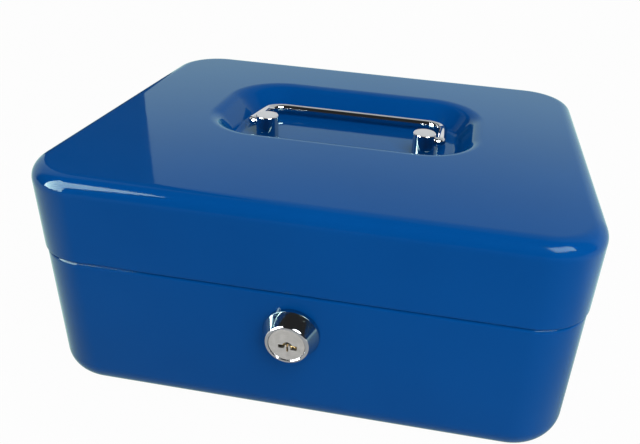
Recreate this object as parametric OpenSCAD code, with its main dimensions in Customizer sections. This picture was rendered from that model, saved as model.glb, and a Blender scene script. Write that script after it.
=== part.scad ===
// Cash box: a two-part steel case with a recessed lid, a folding wire handle,
// a cam lock with a planar hook and a lift-out coin tray.
// Millimetres. X runs left to right, -Y is the front with the lock, +Z is up.
// The origin is on the ground, at the middle of the case.

/* [Case] */
// Length of the closed case, left to right
case_w = 200; // [180:5:300]
// Depth of the closed case, front to back, without the lock and the hinges
case_d = 160; // [145:5:240]
// Height of the closed case
case_h = 90; // [80:1:120]
// Height of the lid, from its edge to its top
lid_h = 32; // [29:1:40]
// Radius of the four upright corners
corner_r = 22; // [20:1:26]
// Roll round the top edge of the lid
lid_edge_r = 6; // [3:0.5:8]
// Roll round the bottom edge of the base
base_edge_r = 10; // [4:0.5:12]
// Thickness of the steel sheet
sheet_t = 1; // [0.8:0.1:1.2]
// Step from the lid's outside face in to the base's
wall_step = 0.5; // [0.2:0.1:0.6]

/* [Rim] */
// Open seam between the lid's edge and the shoulder of the base
seam_gap = 0.4; // [0.3:0.1:0.8]
// Radius of the shoulder under the seam
shoulder_r = 1.5; // [1.3:0.1:2]
// Height of the rim that stands up inside the lid
rim_h = 7; // [5:0.5:8]
// Gap between the rim and the lid's skirt
rim_gap = 0.6; // [0.5:0.1:0.8]
// Height of the hem folded down inside the rim
hem_h = 6; // [3:0.5:6]

/* [Recess in the lid] */
// Length of the recess at its lip
recess_w = 116; // [112:1:130]
// Width of the recess at its lip
recess_d = 70; // [66:1:76]
// How far the recess lies behind the middle of the lid
recess_back = 10.5; // [9:0.5:12]
// Depth of the recess
recess_h = 10; // [9.6:0.2:12]
// Plan radius of the recess's corners at the lip
recess_corner_r = 25; // [22:1:30]
// Roll from the lid's top down into the recess
lip_r = 6.5; // [5:0.5:7]
// Roll from the recess's sloping wall to its floor
foot_r = 3.5; // [2:0.5:4]

/* [Handle] */
// Distance between the two posts
post_pitch = 67.5; // [60:0.5:70]
// Diameter of a post
post_dia = 9.5; // [9:0.5:11]
// Depth of the bail's pivot below the top of the posts
pivot_drop = 3.5; // [3.5:0.25:4.5]
// Diameter of the bail's wire
wire_dia = 3.8; // [3:0.1:4]
// Reach of the bail, from its pivot to the middle of its bar
bail_reach = 29; // [24:0.5:30]
// Angle by which the folded bail slopes down from its pivot
bail_droop = 6.5; // [4:0.5:8]
// Centre-line radius of the bail's two outer corners
bail_corner_r = 8.5; // [4:0.5:10]
// Gap between a post and the bail's arm
bail_gap = 0.4; // [0.3:0.1:0.8]
// Radial running clearance of the wire in a post's cross hole
bail_fit = 0.08; // [0.05:0.01:0.1]

/* [Hinges] */
// Distance from the start of a back corner to the middle of a hinge
hinge_inset = 18; // [15:1:30]
// Width of a hinge
hinge_w = 26; // [22:1:32]
// Thickness of a hinge leaf
leaf_t = 1.2; // [1:0.1:1.5]
// Diameter of a hinge pin
hinge_pin_dia = 3; // [2.6:0.1:3.4]
// Radial running clearance of a pin in its knuckles
hinge_fit = 0.05; // [0.03:0.01:0.1]
// Gap between two knuckles
knuckle_gap = 0.3; // [0.2:0.1:0.6]
// Height of the leaf inside the lid
lid_leaf_h = 20; // [14:1:24]
// Height of the leaf inside the base
base_leaf_h = 18; // [14:1:24]

/* [Lock] */
// Place of the lock's axis, left or right of the middle
lock_x = -1; // [-4:1:4]
// Depth of the lock's axis below the seam
lock_drop = 16.5; // [15:0.5:18]
// Diameter of the bezel where it meets the case
bezel_dia = 20.2; // [19:0.2:22]
// Diameter of the bezel's face
face_dia = 15.6; // [15:0.2:16.4]
// How far the bezel stands out of the case
bezel_h = 7.2; // [6.8:0.2:8]
// Diameter of the threaded barrel
barrel_dia = 16; // [15:0.5:17]
// Distance across the barrel's two flats
barrel_flats = 14; // [13:0.5:14.5]
// Diameter of the plug's head
plug_head_dia = 13; // [12:0.2:13.4]
// Thickness of the plug's head
plug_head_t = 1.2; // [1:0.1:1.4]
// Diameter of the plug
plug_dia = 11; // [10:0.2:11.2]
// Radial running clearance of the plug in the barrel
plug_fit = 0.06; // [0.04:0.01:0.1]
// Distance across the flats of the nut
nut_flats = 20; // [18:0.5:21]
// Thickness of the nut
nut_t = 2.3; // [2:0.1:2.4]
// Thickness of a wafer
wafer_t = 0.8; // [0.6:0.1:0.9]

/* [Hook and catch] */
// Inner radius of the hook's nose
hook_in_r = 12; // [11.6:0.1:12.4]
// Outer radius of the hook's nose
hook_out_r = 16; // [15:0.1:16.4]
// Thickness of the hook and of the catch
hook_t = 1.2; // [1:0.1:1.4]
// Gap all round the hook inside the catch
hook_gap = 0.5; // [0.4:0.1:0.7]
// Angle that the hook covers above the axis when it's locked
hook_span = 60; // [50:2:64]
// Width of the catch
catch_w = 17; // [16:0.5:22]

/* [Coin tray] */
// Depth of the tray's top below the seam
tray_drop = 2; // [1:0.5:4]
// Gap between the tray's edge and the rim's hem, at the ends
tray_gap = 0.9; // [0.7:0.1:2]
// Wall of the moulding
tray_wall = 1.6; // [1.4:0.1:2]
// Depth of the coin cups and the note trays
cup_h = 26; // [18:1:30]
// Number of coin cups in the front row
cup_count = 4; // [3:1:5]
// Length of a coin cup, front to back
cup_l = 48; // [40:1:52]
// Bottom radius of a coin cup
cup_r = 14; // [8:1:15]
// Web between two cups
cup_web = 3; // [3:0.5:5]

/* [Hidden] */
$fn = 64;
eps = 0.01; // overshoot of a cut past the face it opens

// Case
seam_z = case_h - lid_h;
lid_x = case_w / 2;
lid_y = case_d / 2;
base_x = lid_x - wall_step;
base_y = lid_y - wall_step;
base_corner_r = corner_r - wall_step;
shoulder_z = seam_z - seam_gap - shoulder_r;
rim_top = seam_z + rim_h;
rim_in = wall_step - sheet_t - rim_gap; // rim's outside face, from the base's
hem_x = base_x + rim_in - 2 * sheet_t; // the narrowest way in, at the ends
top_z = case_h - sheet_t;

// Recess
recess_floor_z = case_h - recess_h;
wall_in = 0.6; // the recess's wall falls 4 mm for each 3 mm inwards
wall_down = 0.8;
recess_wall_l = (recess_h - (lip_r + foot_r) * (1 - wall_in)) / wall_down; // down the slope
recess_run = (lip_r + foot_r) * wall_down + recess_wall_l * wall_in; // lip to flat floor

// Handle
wire_r = wire_dia / 2;
post_r = post_dia / 2;
pivot_z = case_h - pivot_drop;
post_chamfer = 0.4;
arm_x = post_pitch / 2 + post_r + bail_gap + wire_r;
pivot_bend_r = bail_gap + wire_r; // the arm turns into the post right at its side
bail_seat = post_dia * 0.72; // depth of the blind cross hole
bail_end_gap = 0.3; // between the wire's end and the foot of that hole
screw_r = 2; // M4
screw_head_r = 3.5;
screw_head_h = 2.4;
screw_fit = 0.05;
screw_clear = 0.15; // round a screw in a washer or in the sheet
post_web = 0.7; // metal left between a post's tapped hole and its cross hole
post_hole_h = recess_h - pivot_drop - wire_r - bail_fit - post_web; // tapped hole
post_screw_gap = 0.4; // tapped hole past a screw's end
handle_washer_r = 4.5;
handle_washer_t = 0.8;
handle_screw_l = handle_washer_t + sheet_t + post_hole_h - post_screw_gap;
socket_flats = 2.5;
socket_h = 1.5;

// Hinges
hinge_x = lid_x - corner_r - hinge_inset;
pin_r = hinge_pin_dia / 2;
bore_r = pin_r + hinge_fit;
knuckle_r = bore_r + leaf_t;
hinge_y = lid_y - sheet_t + pin_r; // the lid's leaf is tangent to the pin
hinge_z = seam_z;
knuckle_w = (hinge_w - 2 * knuckle_gap) / 3;
hinge_clear = 0.75; // room round a knuckle
notch_h = knuckle_r + hinge_clear;
pin_head_r = pin_r + 0.7;
pin_head_t = 0.8;
pin_head_chamfer = 0.4;
notch_side = 0.4; // room past a pin's head
notch_w = hinge_w + 2 * pin_head_t + 2 * notch_side;
notch_d = 2 * sheet_t - rim_in + 2; // depth of a cut through the wall, the rim and its hem
leaf_set_h = 1.6; // height over which a base leaf is set out to the pin
leaf_set_gap = 0.1; // the set starts this far past the notch's edge
weld_r = 2; // dimple of a spot weld
weld_h = 0.2;

// Lock, measured out from the base's front face
lock_z = seam_z - lock_drop;
barrel_r = barrel_dia / 2;
wall_fit = 0.1; // barrel in the front wall
lock_washer_t = 0.5;
bezel_land = 0.6; // straight foot of the bezel
bezel_lip = 0.4; // chamfer round the bezel's face
nut_chamfer = 0.6;
barrel_past_nut = 0.3;
nut_z = sheet_t + lock_washer_t + nut_t; // depth of the nut's back
barrel_back = nut_z + barrel_past_nut;
cam_gap = 0.4; // the hook runs clear of the barrel's end
cam_front = barrel_back + cam_gap;
cam_back = cam_front + hook_t;
plug_r = plug_dia / 2;
plug_head_gap = 0.1;
tail_flats = 5.6;
tail_fit = 0.05;
cam_washer_t = 0.8;
cam_washer_r = 4.8;
cam_screw_head_r = 3.5;
cam_screw_head_h = 1.8;
wafer_count = 4;
wafer_gap = 0.7; // rib of the plug between two wafers
wafer_fit = 0.05;
wafer_pitch = wafer_t + wafer_gap + 2 * wafer_fit;
wafer_z = 4.4;
wafer_w = 2 * sqrt(plug_r * plug_r - wafer_z * wafer_z / 4) - 0.3;
plug_sink = 0.2; // the plug's head lies inside the bezel's lip
plug_face = bezel_h - plug_sink;
plug_seat = plug_face - plug_head_t;
wafer_lead = 0.3; // before the first wafer and past the last
keyway_h = plug_head_t + wafer_count * wafer_pitch + 2 * wafer_lead;
wafer_hole = [6.2, 2.4];
wafer_hole_z = 0.1; // middle of a wafer's hole, above the axis
screw_end_gap = 0.3; // tapped hole past a screw's end
cam_screw_end = keyway_h - plug_face + 2 * screw_end_gap; // the screw stops behind the keyway
screw_slot = [4, 0.8, 1]; // length, width and depth of a slot in the cam screw's head

// Hook and catch, as angles round the lock's axis, counted up from the right
hook_hub_r = 6.8;
upright = 90;
hook_from = upright - hook_span / 2;
hook_to = upright + hook_span / 2;
hook_arm_w = 20; // angle of the arm that carries the nose
hook_tip_w = 6; // angle of the nose's rounded tip
hook_blend = 2; // overlap of the arm with the hub and the nose
hook_tip_r = (hook_out_r - hook_in_r) / 2 - 0.1;
hook_mid_r = (hook_out_r + hook_in_r) / 2;
catch_lip = hook_hub_r + 1; // underside of the catch, above the axis
catch_left = -3; // left side of the catch, from the axis
catch_shelf_gap = 1.2; // the shelf passes over the rim
catch_flange_h = 13;
catch_end = hook_from - 8; // closed end of the catch's slot
catch_open = 150; // the slot is cut on to here, out through the catch's left side
slot_slack = 0.1; // more gap outside the nose than inside it

// Coin tray
tray_top = seam_z - tray_drop;
tray_deck = 2;
tray_x = hem_x - tray_gap;
tray_back_gap = 1.4; // more room at the front and back than at the ends
tray_y = hem_x - lid_x + lid_y - tray_back_gap;
tray_corner_r = 17.5;
tray_skirt_h = 8;
tray_notch_w = 44;
tray_notch_d = 9;
cups_x = tray_x - 8.5; // half length of the rows of cups
cups_front = -tray_y + tray_notch_d + 5; // behind the notch for the lock
cups_back = tray_y - 9;
cup_w = (2 * cups_x - (cup_count - 1) * cup_web) / cup_count;
note_w = (2 * cups_x - cup_web) / 2;
note_y = cups_front + cup_l + cup_web;
note_l = cups_back - note_y;
note_r = 6;
leg_l = 18;
leg_d = 9;
leg_y = 42; // middle of a leg, from the middle of the case
leg_lap = 2; // the leg runs up beside the cups
grip_r = 14; // finger cut-outs at the ends
grip_off = 8;

// Colours
blue = "#0a4a8c";
steel = "silver";
brass = "#c8b070";
black = "#202022";

// ---- Outlines and sections ----

// Quarter of a disc, in the first quadrant
module quarter_disc(r) {
  intersection() {
    circle(r);
    square(r);
  }
}

// Quarter of a bend in sheet of thickness t, with r as its outer radius
module quarter_band(r, t) {
  difference() {
    quarter_disc(r);
    circle(r - t);
  }
}

// Half of a disc, on the side of +y
module half_disc(r) {
  intersection() {
    circle(r);
    translate([-r, 0]) square([2 * r, r]);
  }
}

// Rounded rectangle, by its half lengths
module round_rect(half_x, half_y, r) {
  square([2 * half_x, 2 * (half_y - r)], center = true);
  for (side = [0, 180])
    rotate(side)
      translate([-(half_x - r), half_y - r]) square([2 * (half_x - r), r]);
  for (turn = [0, 180])
    rotate(turn) {
      translate([half_x - r, half_y - r]) quarter_disc(r);
      translate([-(half_x - r), half_y - r]) rotate(90) quarter_disc(r);
    }
}

// Slice of a plane from angle a to angle b, out past radius r
module wedge(a, b, r) {
  far = 2 * r;
  mid = (a + b) / 2;
  polygon([
    [0, 0],
    [far * cos(a), far * sin(a)],
    [far * cos(mid), far * sin(mid)],
    [far * cos(b), far * sin(b)],
  ]);
}

// Ring between two radii, from angle a to angle b
module ring_part(r_in, r_out, a, b) {
  intersection() {
    difference() {
      circle(r_out);
      circle(r_in);
    }
    wedge(a, b, r_out);
  }
}

// Pressing: the child is a section of the sheet, drawn outward from the centre of a
// corner, and it's carried round the four sides and the four corners
module pressing(half_x, half_y, plan_r) {
  flat_x = half_x - plan_r;
  flat_y = half_y - plan_r;
  for (turn = [0, 180])
    rotate(turn) {
      translate([flat_x, 0, 0]) rotate([90, 0, 0])
        linear_extrude(height = 2 * flat_y, center = true) children();
      translate([0, flat_y, 0]) rotate([90, 0, 90])
        linear_extrude(height = 2 * flat_x, center = true) children();
      translate([flat_x, flat_y, 0]) rotate_extrude(angle = 90) children();
      translate([-flat_x, flat_y, 0]) rotate(90) rotate_extrude(angle = 90) children();
    }
}

// Lock's frame: +Z points out of the front face, +Y is up
module at_lock() {
  translate([lock_x, -base_y, lock_z]) rotate([90, 0, 0]) children();
}

// Barrel's outline: a disc with a flat at the top and at the foot
module double_d(r, flats) {
  intersection() {
    circle(r);
    square([2 * r + 1, flats], center = true);
  }
}

// ---- Base ----

module base_section() {
  floor_w = base_corner_r - base_edge_r;
  wall = base_corner_r - sheet_t;
  rim = base_corner_r + rim_in;
  square([floor_w, sheet_t]);
  translate([floor_w, base_edge_r]) mirror([0, 1]) quarter_band(base_edge_r, sheet_t);
  translate([wall, base_edge_r]) square([sheet_t, shoulder_z - base_edge_r]);
  translate([rim - sheet_t, shoulder_z - sheet_t])
    square([base_corner_r - rim + sheet_t, sheet_t]);
  translate([base_corner_r - shoulder_r, shoulder_z]) quarter_disc(shoulder_r);
  translate([rim - sheet_t, shoulder_z])
    square([sheet_t, rim_top - sheet_t - shoulder_z]);
  translate([rim - 2 * sheet_t, rim_top - hem_h]) square([sheet_t, hem_h - sheet_t]);
  translate([rim - sheet_t, rim_top - sheet_t]) half_disc(sheet_t);
}

module base_shell() {
  color(blue)
    difference() {
      union() {
        pressing(base_x, base_y, base_corner_r) base_section();
        translate([-(base_x - base_corner_r), -(base_y - base_corner_r), 0])
          cube([2 * (base_x - base_corner_r), 2 * (base_y - base_corner_r), sheet_t]);
      }
      for (side = [-1, 1])
        translate([side * hinge_x - notch_w / 2, base_y - notch_d, hinge_z - notch_h])
          cube([notch_w, notch_d + 1, rim_top - hinge_z + notch_h + 1]);
      at_lock()
        translate([0, 0, -sheet_t - 1])
          linear_extrude(height = sheet_t + 2)
            double_d(barrel_r + wall_fit, barrel_flats + 2 * wall_fit);
    }
}

// ---- Lid ----

module lid_section() {
  roll_x = corner_r - lid_edge_r;
  roll_z = case_h - lid_edge_r;
  edge_r = sheet_t / 2;
  translate([0, top_z]) square([roll_x, sheet_t]);
  translate([roll_x, roll_z]) quarter_band(lid_edge_r, sheet_t);
  translate([corner_r - sheet_t, seam_z + edge_r])
    square([sheet_t, roll_z - seam_z - edge_r]);
  translate([corner_r - edge_r, seam_z + edge_r]) rotate(180) half_disc(edge_r);
}

// Part of a ring, from straight up round to the recess's wall; way is 1 for up, -1 for down
module wall_bend(r, way) {
  reach = 2 * (r + sheet_t);
  intersection() {
    difference() {
      circle(way > 0 ? r : r + sheet_t);
      circle(way > 0 ? r - sheet_t : r);
    }
    polygon([[0, 0], [0, way * reach], [-way * reach * wall_down, way * reach * wall_in]]);
  }
}

module recess_section() {
  lip_at = [recess_corner_r, case_h - lip_r];
  foot_at = [recess_corner_r - recess_run, recess_floor_z + foot_r];
  face = [-wall_down, wall_in]; // square to the wall, into the recess
  translate(lip_at) wall_bend(lip_r, 1);
  polygon([
    lip_at + lip_r * face,
    foot_at - foot_r * face,
    foot_at - (foot_r + sheet_t) * face,
    lip_at + (lip_r - sheet_t) * face,
  ]);
  translate(foot_at) wall_bend(foot_r, -1);
  translate([0, recess_floor_z - sheet_t]) square([foot_at[0], sheet_t]);
}

module lid_shell() {
  top_x = lid_x - corner_r;
  top_y = lid_y - corner_r;
  floor_x = recess_w / 2 - recess_corner_r;
  floor_y = recess_d / 2 - recess_corner_r;
  color(blue)
    difference() {
      union() {
        pressing(lid_x, lid_y, corner_r) lid_section();
        translate([0, 0, top_z])
          linear_extrude(height = sheet_t)
            difference() {
              square([2 * top_x, 2 * top_y], center = true);
              translate([0, recess_back])
                round_rect(recess_w / 2, recess_d / 2, recess_corner_r);
            }
        translate([0, recess_back, 0]) {
          pressing(recess_w / 2, recess_d / 2, recess_corner_r) recess_section();
          translate([-floor_x, -floor_y, recess_floor_z - sheet_t])
            cube([2 * floor_x, 2 * floor_y, sheet_t]);
        }
      }
      for (side = [-1, 1]) {
        translate([side * hinge_x - notch_w / 2, lid_y - notch_d, seam_z - 1])
          cube([notch_w, notch_d + 1, notch_h + 1]);
        translate([side * post_pitch / 2, 0, recess_floor_z - sheet_t - 1])
          cylinder(h = sheet_t + 2, r = screw_r + screw_clear);
      }
    }
}

// ---- Hinges ----

// Tube of a hinge on its pin, centred at x
module knuckle(x, w) {
  translate([x - w / 2, 0, 0]) rotate([0, 90, 0]) cylinder(h = w, r = knuckle_r);
}

module hinge_frame(side) {
  translate([side * hinge_x, hinge_y, hinge_z]) children();
}

module hinge_bore() {
  translate([-hinge_w, 0, 0]) rotate([0, 90, 0]) cylinder(h = 2 * hinge_w, r = bore_r);
}

// Two spot welds, pressed into a leaf's inner face
module weld_dimples(face_y, z) {
  for (x = [-hinge_w / 4, hinge_w / 4])
    translate([x, face_y - 1, z]) rotate([-90, 0, 0]) cylinder(h = 1 + weld_h, r = weld_r);
}

// Leaf inside the lid, with the middle knuckle
module hinge_lid_leaf(side) {
  inner = -pin_r - leaf_t;
  color(steel)
    hinge_frame(side)
      difference() {
        union() {
          knuckle(0, knuckle_w);
          translate([-knuckle_w / 2, inner, 0]) cube([knuckle_w, leaf_t, notch_h + 1]);
          translate([-hinge_w / 2, inner, notch_h])
            cube([hinge_w, leaf_t, lid_leaf_h - notch_h]);
        }
        hinge_bore();
        weld_dimples(inner, (lid_leaf_h + notch_h) / 2);
      }
}

// Side view of a base leaf: flat on the wall, then set out to the pin
module base_leaf_side(from_z) {
  wall = lid_y - wall_step - sheet_t - hinge_y; // inner face of the base's wall
  inner = -pin_r - leaf_t;
  set_z = notch_h - leaf_set_gap;
  polygon([
    [wall - leaf_t, -from_z],
    [wall, -from_z],
    [wall, -set_z],
    [-pin_r, -set_z + leaf_set_h],
    [-pin_r, 0],
    [inner, 0],
    [inner, -set_z + leaf_set_h],
    [wall - leaf_t, -set_z],
  ]);
}

// Leaf inside the base, with the two outer knuckles
module hinge_base_leaf(side) {
  outer_x = (hinge_w - knuckle_w) / 2;
  wall = lid_y - wall_step - sheet_t - hinge_y;
  color(steel)
    hinge_frame(side)
      difference() {
        union() {
          for (x = [-outer_x, outer_x]) {
            knuckle(x, knuckle_w);
            translate([x - knuckle_w / 2, 0, 0])
              rotate([90, 0, 90])
                linear_extrude(height = knuckle_w) base_leaf_side(notch_h + 1);
          }
          translate([-hinge_w / 2, wall - leaf_t, -base_leaf_h])
            cube([hinge_w, leaf_t, base_leaf_h - notch_h]);
        }
        hinge_bore();
        weld_dimples(wall - leaf_t, -(base_leaf_h + notch_h) / 2);
      }
}

// Pin with a peened head at each end
module hinge_pin(side) {
  color(steel)
    hinge_frame(side)
      rotate([0, 90, 0])
        rotate_extrude()
          polygon([
            [0, -hinge_w / 2 - pin_head_t],
            [pin_head_r - pin_head_chamfer, -hinge_w / 2 - pin_head_t],
            [pin_head_r, -hinge_w / 2 - pin_head_t + pin_head_chamfer],
            [pin_head_r, -hinge_w / 2],
            [pin_r, -hinge_w / 2],
            [pin_r, hinge_w / 2],
            [pin_head_r, hinge_w / 2],
            [pin_head_r, hinge_w / 2 + pin_head_t - pin_head_chamfer],
            [pin_head_r - pin_head_chamfer, hinge_w / 2 + pin_head_t],
            [0, hinge_w / 2 + pin_head_t],
          ]);
}

module hinge_base_leaf_left() { hinge_base_leaf(-1); }
module hinge_base_leaf_right() { hinge_base_leaf(1); }
module hinge_lid_leaf_left() { hinge_lid_leaf(-1); }
module hinge_lid_leaf_right() { hinge_lid_leaf(1); }
module hinge_pin_left() { hinge_pin(-1); }
module hinge_pin_right() { hinge_pin(1); }

// ---- Lock ----

module lock_barrel() {
  color(steel)
    at_lock()
      difference() {
        union() {
          rotate_extrude()
            polygon([
              [0, 0],
              [bezel_dia / 2, 0],
              [bezel_dia / 2, bezel_land],
              [face_dia / 2, bezel_h - bezel_lip],
              [face_dia / 2 - bezel_lip, bezel_h],
              [0, bezel_h],
            ]);
          translate([0, 0, -barrel_back])
            linear_extrude(height = barrel_back + 1) double_d(barrel_r, barrel_flats);
        }
        translate([0, 0, plug_seat - plug_head_gap])
          cylinder(h = bezel_h, r = plug_head_dia / 2 + plug_fit);
        translate([0, 0, -barrel_back - 1])
          cylinder(h = barrel_back + bezel_h, r = plug_r + plug_fit);
      }
}

module lock_washer() {
  color(steel)
    at_lock()
      translate([0, 0, -sheet_t - lock_washer_t])
        difference() {
          cylinder(h = lock_washer_t, r = nut_flats / 2);
          translate([0, 0, -1]) cylinder(h = lock_washer_t + 2, r = barrel_r + wall_fit);
        }
}

module lock_nut() {
  corner = nut_flats / 2 / cos(30);
  color(steel)
    at_lock()
      translate([0, 0, -nut_z])
        difference() {
          intersection() {
            cylinder(h = nut_t, r = corner, $fn = 6);
            rotate_extrude()
              polygon([
                [0, 0],
                [corner - nut_chamfer, 0],
                [corner + nut_chamfer, 2 * nut_chamfer],
                [corner + nut_chamfer, nut_t],
                [0, nut_t],
              ]);
          }
          translate([0, 0, -1]) cylinder(h = nut_t + 2, r = barrel_r + screw_fit);
        }
}

// Keyway: two flags, an arch between them and a stem below it
module keyway() {
  arch_at = [0.3, -0.35];
  arch_r = 1.7;
  arch_in_r = 0.75;
  flag_left_at = [-2.9, -1.45];
  flag_left = [2, 1.4];
  flag_right_at = [1.3, -1.75];
  flag_right = [2.4, 1.85];
  neck_at = [-1.2, -0.9]; // joins the left flag to the arch
  neck = [0.6, 0.7];
  stem_foot = -2.65;
  stem = [0.7, 3.2];
  translate(flag_left_at) square(flag_left);
  translate(flag_right_at) square(flag_right);
  translate(arch_at)
    difference() {
      half_disc(arch_r);
      circle(arch_in_r);
    }
  translate(neck_at) square(neck);
  translate([arch_at[0] - stem[0] / 2, stem_foot]) square(stem);
}

// Depth of the middle of wafer i below the plug's face
function wafer_depth(i) = plug_head_t + wafer_lead + (i + 0.5) * wafer_pitch;

module lock_plug() {
  body_l = plug_seat + cam_front;
  color(steel)
    at_lock()
      difference() {
        union() {
          translate([0, 0, plug_seat])
            cylinder(h = plug_head_t, r = plug_head_dia / 2);
          translate([0, 0, -cam_front]) cylinder(h = body_l, r = plug_r);
          translate([-tail_flats / 2, -tail_flats / 2, -cam_back + 0.1])
            cube([tail_flats, tail_flats, hook_t]);
        }
        translate([0, 0, plug_face - keyway_h])
          linear_extrude(height = keyway_h + 1) keyway();
        for (i = [0 : wafer_count - 1])
          translate([-plug_r - 1, -wafer_z / 2 - wafer_fit, plug_face - wafer_depth(i)])
            translate([0, 0, -wafer_t / 2 - wafer_fit])
              cube([2 * plug_r + 2, wafer_z + 2 * wafer_fit, wafer_t + 2 * wafer_fit]);
        translate([0, 0, -cam_back - 1])
          cylinder(h = cam_back + 1 - cam_screw_end + screw_end_gap, r = screw_r + screw_fit);
      }
}

module lock_wafers() {
  color(brass)
    at_lock()
      for (i = [0 : wafer_count - 1])
        translate([0, 0, plug_face - wafer_depth(i) - wafer_t / 2])
          linear_extrude(height = wafer_t)
            difference() {
              square([wafer_w, wafer_z], center = true);
              translate([0, wafer_hole_z]) square(wafer_hole, center = true);
            }
}

// Hook's outline where it is locked, with the nose over the axis
module hook_outline() {
  tip = hook_from + hook_tip_w;
  difference() {
    union() {
      circle(hook_hub_r);
      ring_part(hook_in_r, hook_out_r, tip, hook_to + hook_arm_w);
      translate([hook_mid_r * cos(tip), hook_mid_r * sin(tip)]) circle(hook_tip_r);
      ring_part(hook_hub_r - hook_blend, hook_in_r + hook_blend, hook_to - hook_blend,
        hook_to + hook_arm_w);
    }
    square(tail_flats + 2 * tail_fit, center = true);
  }
}

module lock_cam() {
  color(steel)
    at_lock()
      translate([0, 0, -cam_back])
        rotate(90)
          linear_extrude(height = hook_t) hook_outline();
}

module cam_washer() {
  color(steel)
    at_lock()
      translate([0, 0, -cam_back - cam_washer_t])
        difference() {
          cylinder(h = cam_washer_t, r = cam_washer_r);
          translate([0, 0, -1]) cylinder(h = cam_washer_t + 2, r = screw_r + screw_clear);
        }
}

module cam_screw() {
  head = cam_back + cam_washer_t;
  color(steel)
    at_lock()
      difference() {
        union() {
          translate([0, 0, -head - cam_screw_head_h])
            cylinder(h = cam_screw_head_h, r = cam_screw_head_r);
          translate([0, 0, -head - 1])
            cylinder(h = head + 1 - cam_screw_end, r = screw_r);
        }
        for (turn = [0, 90])
          rotate(turn)
            translate([0, 0, -head - cam_screw_head_h])
              cube([screw_slot[0], screw_slot[1], 2 * screw_slot[2]], center = true);
      }
}

// Catch on the lid: a flange on the skirt, a shelf over the rim and a slotted leg
module catch_side() {
  skirt = lid_y - sheet_t;
  leg = base_y - cam_front;
  shelf = rim_top + catch_shelf_gap;
  foot = lock_z + catch_lip;
  polygon([
    [-skirt, shelf],
    [-leg, shelf],
    [-leg, foot],
    [-leg + hook_t, foot],
    [-leg + hook_t, shelf + hook_t],
    [-skirt + hook_t, shelf + hook_t],
    [-skirt + hook_t, shelf + catch_flange_h],
    [-skirt, shelf + catch_flange_h],
  ]);
}

module lid_catch() {
  slot_in = hook_in_r - hook_gap;
  slot_out = hook_out_r + hook_gap + slot_slack;
  color(steel)
    difference() {
      translate([lock_x + catch_left, 0, 0])
        rotate([90, 0, 90])
          linear_extrude(height = catch_w) catch_side();
      at_lock()
        translate([0, 0, -cam_back - 1])
          linear_extrude(height = hook_t + 2)
            ring_part(slot_in, slot_out, catch_end, catch_open);
    }
}

// ---- Handle ----

module handle_post(side) {
  color(steel)
    translate([side * post_pitch / 2, 0, recess_floor_z])
      difference() {
        rotate_extrude()
          polygon([
            [0, 0],
            [post_r, 0],
            [post_r, recess_h - post_chamfer],
            [post_r - post_chamfer, recess_h],
            [0, recess_h],
          ]);
        translate([side * (post_r - bail_seat), 0, recess_h - pivot_drop])
          rotate([0, side * 90, 0]) cylinder(h = post_dia, r = wire_r + bail_fit);
        translate([0, 0, -1]) cylinder(h = post_hole_h + 1, r = screw_r + screw_fit);
      }
}

module handle_post_left() { handle_post(-1); }
module handle_post_right() { handle_post(1); }

module handle_washers() {
  color(steel)
    for (side = [-1, 1])
      translate([side * post_pitch / 2, 0, recess_floor_z - sheet_t - handle_washer_t])
        difference() {
          cylinder(h = handle_washer_t, r = handle_washer_r);
          translate([0, 0, -1]) cylinder(h = handle_washer_t + 2, r = screw_r + screw_clear);
        }
}

module handle_screws() {
  seat = recess_floor_z - sheet_t - handle_washer_t;
  color(steel)
    for (side = [-1, 1])
      translate([side * post_pitch / 2, 0, seat])
        difference() {
          union() {
            translate([0, 0, -screw_head_h]) cylinder(h = screw_head_h, r = screw_head_r);
            translate([0, 0, -1])
              cylinder(h = 1 + handle_screw_l, r = screw_r);
          }
          translate([0, 0, -screw_head_h - 1])
            cylinder(h = socket_h + 1, r = socket_flats / 2 / cos(30), $fn = 6);
        }
}

// Quarter of a bent wire, from the +X direction to the +Y direction
module wire_bend(bend_r) {
  rotate_extrude(angle = 90) translate([bend_r, 0]) circle(wire_r);
}

module handle_bail() {
  end_x = post_pitch / 2 + post_r - bail_seat + bail_end_gap;
  bend_x = arm_x - pivot_bend_r;
  corner_x = arm_x - bail_corner_r;
  corner_y = bail_reach - bail_corner_r;
  color(steel)
    translate([0, 0, pivot_z])
      rotate([-bail_droop, 0, 0]) {
        for (side = [0, 1])
          mirror([side, 0, 0]) {
            translate([end_x, 0, 0])
              rotate([0, 90, 0]) cylinder(h = bend_x - end_x, r = wire_r);
            translate([bend_x, pivot_bend_r, 0]) rotate(-90) wire_bend(pivot_bend_r);
            translate([arm_x, pivot_bend_r, 0])
              rotate([-90, 0, 0]) cylinder(h = corner_y - pivot_bend_r, r = wire_r);
            translate([corner_x, corner_y, 0]) wire_bend(bail_corner_r);
          }
        translate([-corner_x, bail_reach, 0])
          rotate([0, 90, 0]) cylinder(h = 2 * corner_x, r = wire_r);
      }
}

// ---- Coin tray ----

// Outline of the moulding, drawn in from its edge
module tray_outline(inset) {
  notch_x = tray_notch_w / 2 + inset;
  difference() {
    round_rect(tray_x - inset, tray_y - inset, tray_corner_r - inset);
    translate([lock_x - notch_x, -tray_y - 1])
      square([2 * notch_x, tray_notch_d + inset + 1]);
  }
}

// End view of a cup, open at the top, with its lower edges rounded
module cup_end(w, r, wall) {
  half = w / 2 + wall;
  foot_r = r + wall;
  low = -cup_h - wall;
  translate([-half, low + foot_r]) square([2 * half, -low - foot_r]);
  translate([-half + foot_r, low]) square([2 * (half - foot_r), foot_r]);
  for (side = [0, 1])
    mirror([side, 0])
      translate([half - foot_r, low + foot_r]) mirror([0, 1]) quarter_disc(foot_r);
}

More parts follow.
